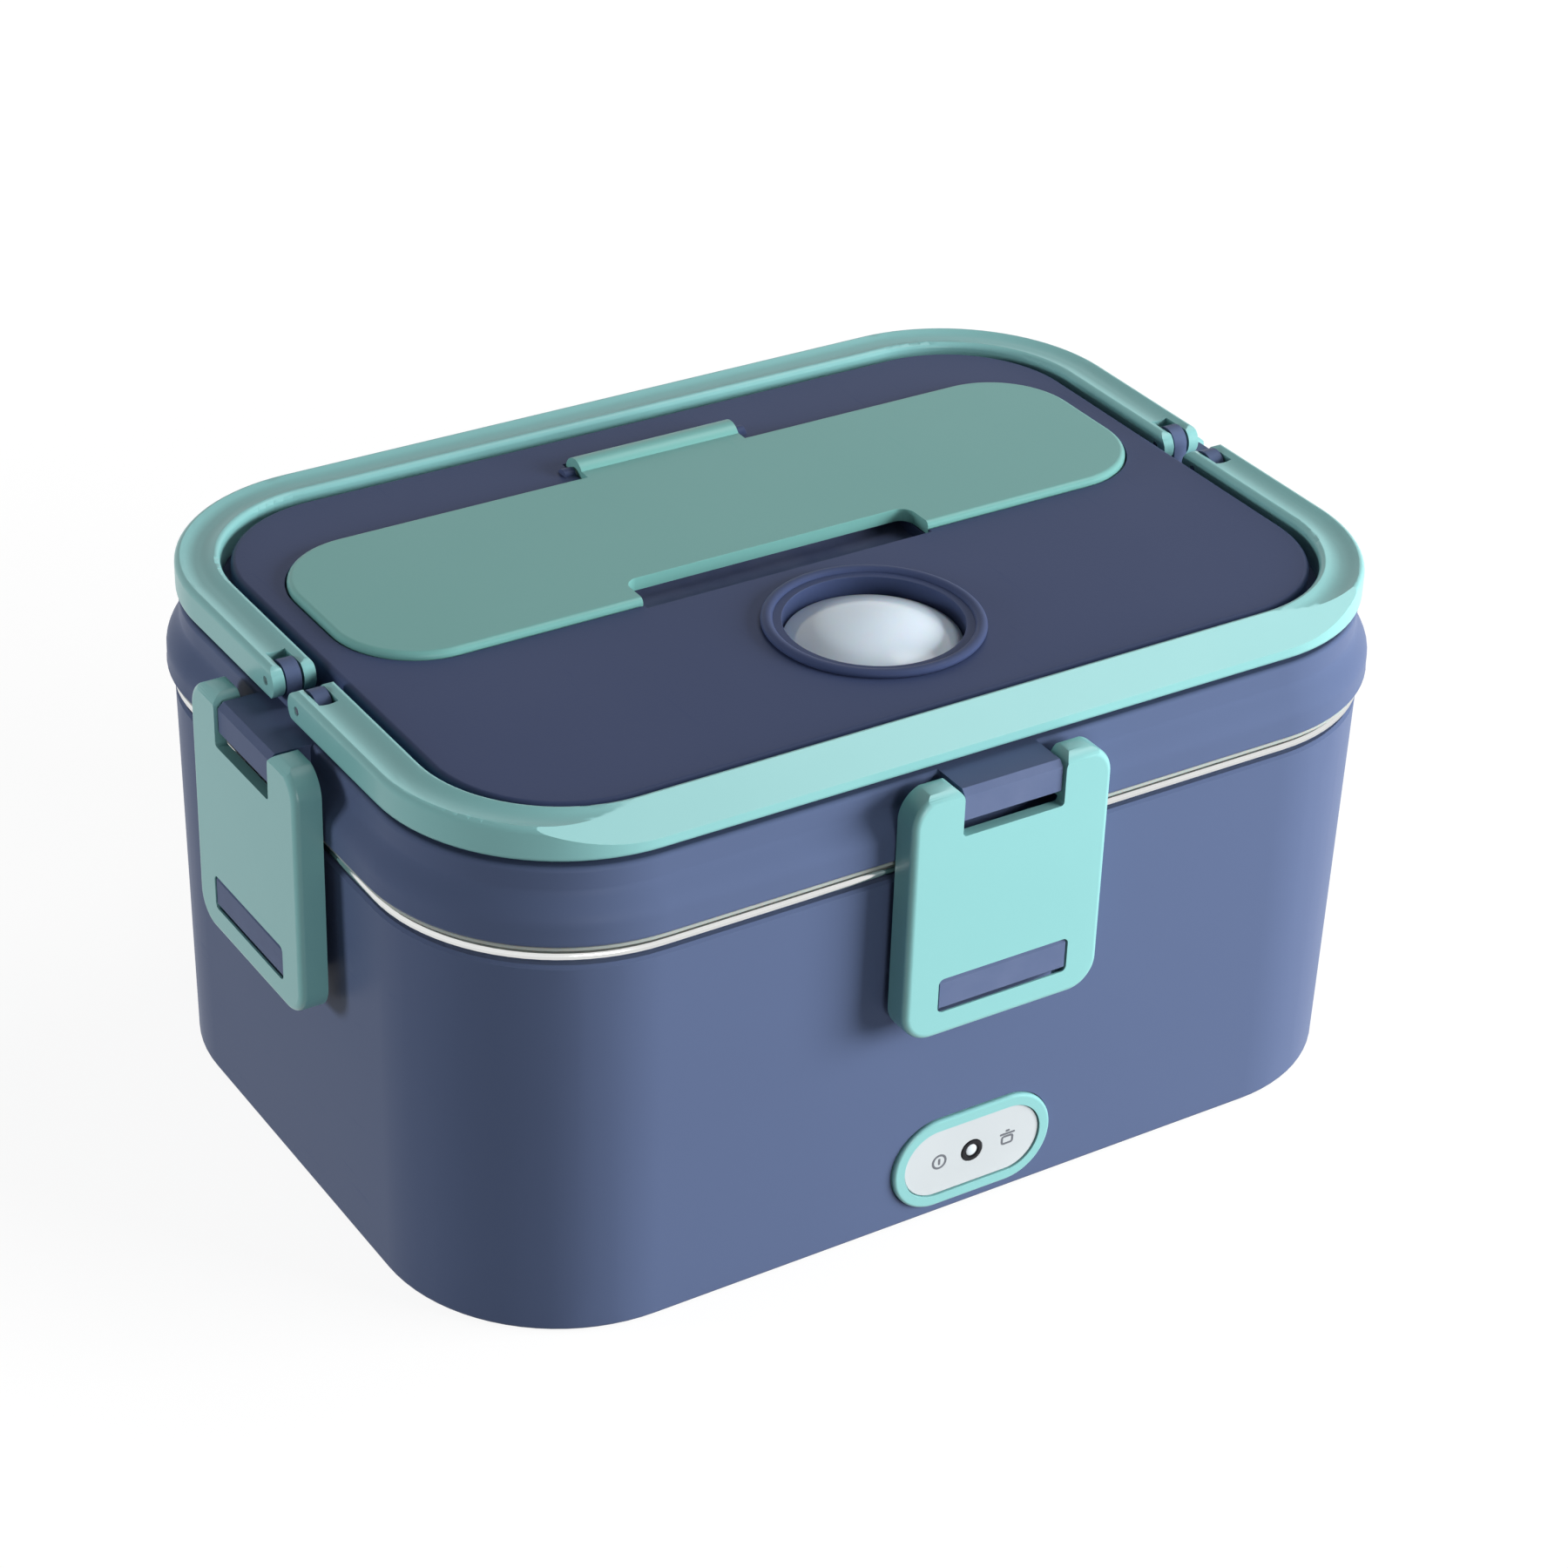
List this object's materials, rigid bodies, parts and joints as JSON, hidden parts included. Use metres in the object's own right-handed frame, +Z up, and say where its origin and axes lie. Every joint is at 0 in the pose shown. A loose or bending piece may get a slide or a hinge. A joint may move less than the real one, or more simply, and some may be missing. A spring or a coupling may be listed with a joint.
{
  "type": "electric lunch box",
  "caption": "Rounded electric lunch box with a lift-out steel container, a latched lid, folding handles, a cutlery compartment and a steam valve.",
  "frame": {"origin": "middle of the footprint, on the surface that the feet stand on", "axes": "+X along the length, -Y is the front with the indicator, +Z up"},
  "size_m": [0.2354, 0.1714, 0.1148],
  "materials": {
    "navy_shell": "glossy moulded plastic",
    "navy_panel": "satin moulded plastic",
    "teal_trim": "glossy moulded plastic",
    "teal_cover": "satin moulded plastic",
    "steel_sheet": "polished stainless sheet",
    "aluminium_plate": "die-cast, bare",
    "heater_black": "insulated heater body",
    "fuse_white": "ceramic",
    "lead_red": "insulated wire",
    "pin_steel": "turned pin",
    "rubber_black": "matt rubber",
    "inlet_black": "moulded nylon",
    "brass_pin": "turned and plated",
    "board_green": "circuit board",
    "face_white": "glossy printed plate",
    "lamp_black": "glossy ring",
    "liner_white": "food-safe moulding",
    "silicone_clear": "translucent silicone",
    "valve_pale": "translucent moulding"
  },
  "bodies": {
    "housing": {"outer_housing": "navy_shell", "pot_liner": "steel_sheet", "heating_plate": "aluminium_plate", "heater_element": "heater_black", "heater_clamp": "aluminium_plate", "thermostat": "heater_black", "thermal_fuse": "fuse_white", "internal_leads": "lead_red", "base_cover": "navy_panel", "base_screws": "pin_steel", "rubber_feet": "rubber_black", "power_inlet": "inlet_black", "inlet_pins": "brass_pin", "indicator_board": "board_green", "indicator_led": "fuse_white", "indicator_bezel": "teal_trim", "indicator_face": "face_white", "lamp_lens": "lamp_black"},
    "container": {"food_container": "steel_sheet"},
    "lid": {"lid_shell": "navy_shell", "lid_panel": "navy_panel", "lid_liner": "liner_white", "lid_seal": "silicone_clear", "handle_pins": "pin_steel", "latch_pins": "pin_steel", "cover_pin": "pin_steel"},
    "latch_front": {"latch_front": "teal_trim"},
    "latch_right": {"latch_right": "teal_trim"},
    "latch_back": {"latch_back": "teal_trim"},
    "latch_left": {"latch_left": "teal_trim"},
    "handle_front": {"handle_front": "teal_trim"},
    "handle_back": {"handle_back": "teal_trim"},
    "cutlery_cover": {"cutlery_cover": "teal_cover"},
    "steam_valve": {"valve_dome": "valve_pale", "valve_seal": "silicone_clear"}
  },
  "joints": [
    {"name": "lid_lift", "type": "slide", "parent": "housing", "child": "lid", "axis": [0, 0, 1], "range_m": [0, 0.085]},
    {"name": "container_lift", "type": "slide", "parent": "housing", "child": "container", "axis": [0, 0, 1], "range_m": [0, 0.068]},
    {"name": "latch_front_hinge", "type": "hinge", "parent": "lid", "child": "latch_front", "pos_m": [0, -0.0819, 0.1009], "axis": [-1, 0, 0], "range_deg": [0, 120.5]},
    {"name": "latch_right_hinge", "type": "hinge", "parent": "lid", "child": "latch_right", "pos_m": [0.1139, 0, 0.1009], "axis": [0, -1, 0], "range_deg": [0, 120.5]},
    {"name": "latch_back_hinge", "type": "hinge", "parent": "lid", "child": "latch_back", "pos_m": [0, 0.0819, 0.1009], "axis": [1, 0, 0], "range_deg": [0, 120.5]},
    {"name": "latch_left_hinge", "type": "hinge", "parent": "lid", "child": "latch_left", "pos_m": [-0.1139, 0, 0.1009], "axis": [0, 1, 0], "range_deg": [0, 120.5]},
    {"name": "handle_front_fold", "type": "hinge", "parent": "lid", "child": "handle_front", "pos_m": [0, -0.0066, 0.1096], "axis": [-1, 0, 0], "range_deg": [0, 90]},
    {"name": "handle_back_fold", "type": "hinge", "parent": "lid", "child": "handle_back", "pos_m": [0, 0.0066, 0.1096], "axis": [1, 0, 0], "range_deg": [0, 90]},
    {"name": "cover_hinge", "type": "hinge", "parent": "lid", "child": "cutlery_cover", "pos_m": [0.002, 0.0509, 0.1112], "axis": [-1, 0, 0], "range_deg": [0, 100]},
    {"name": "valve_pull", "type": "slide", "parent": "lid", "child": "steam_valve", "axis": [0, 0, 1], "range_m": [0, 0.0045]}
  ],
  "couplings": [
    {"joint": "container_lift", "follows": "lid_lift", "ratio": 0.8},
    {"joint": "latch_front_hinge", "follows": "lid_lift", "rad_per_m": 24.64},
    {"joint": "latch_right_hinge", "follows": "lid_lift", "rad_per_m": 24.64},
    {"joint": "latch_back_hinge", "follows": "lid_lift", "rad_per_m": 24.64},
    {"joint": "latch_left_hinge", "follows": "lid_lift", "rad_per_m": 24.64}
  ]
}
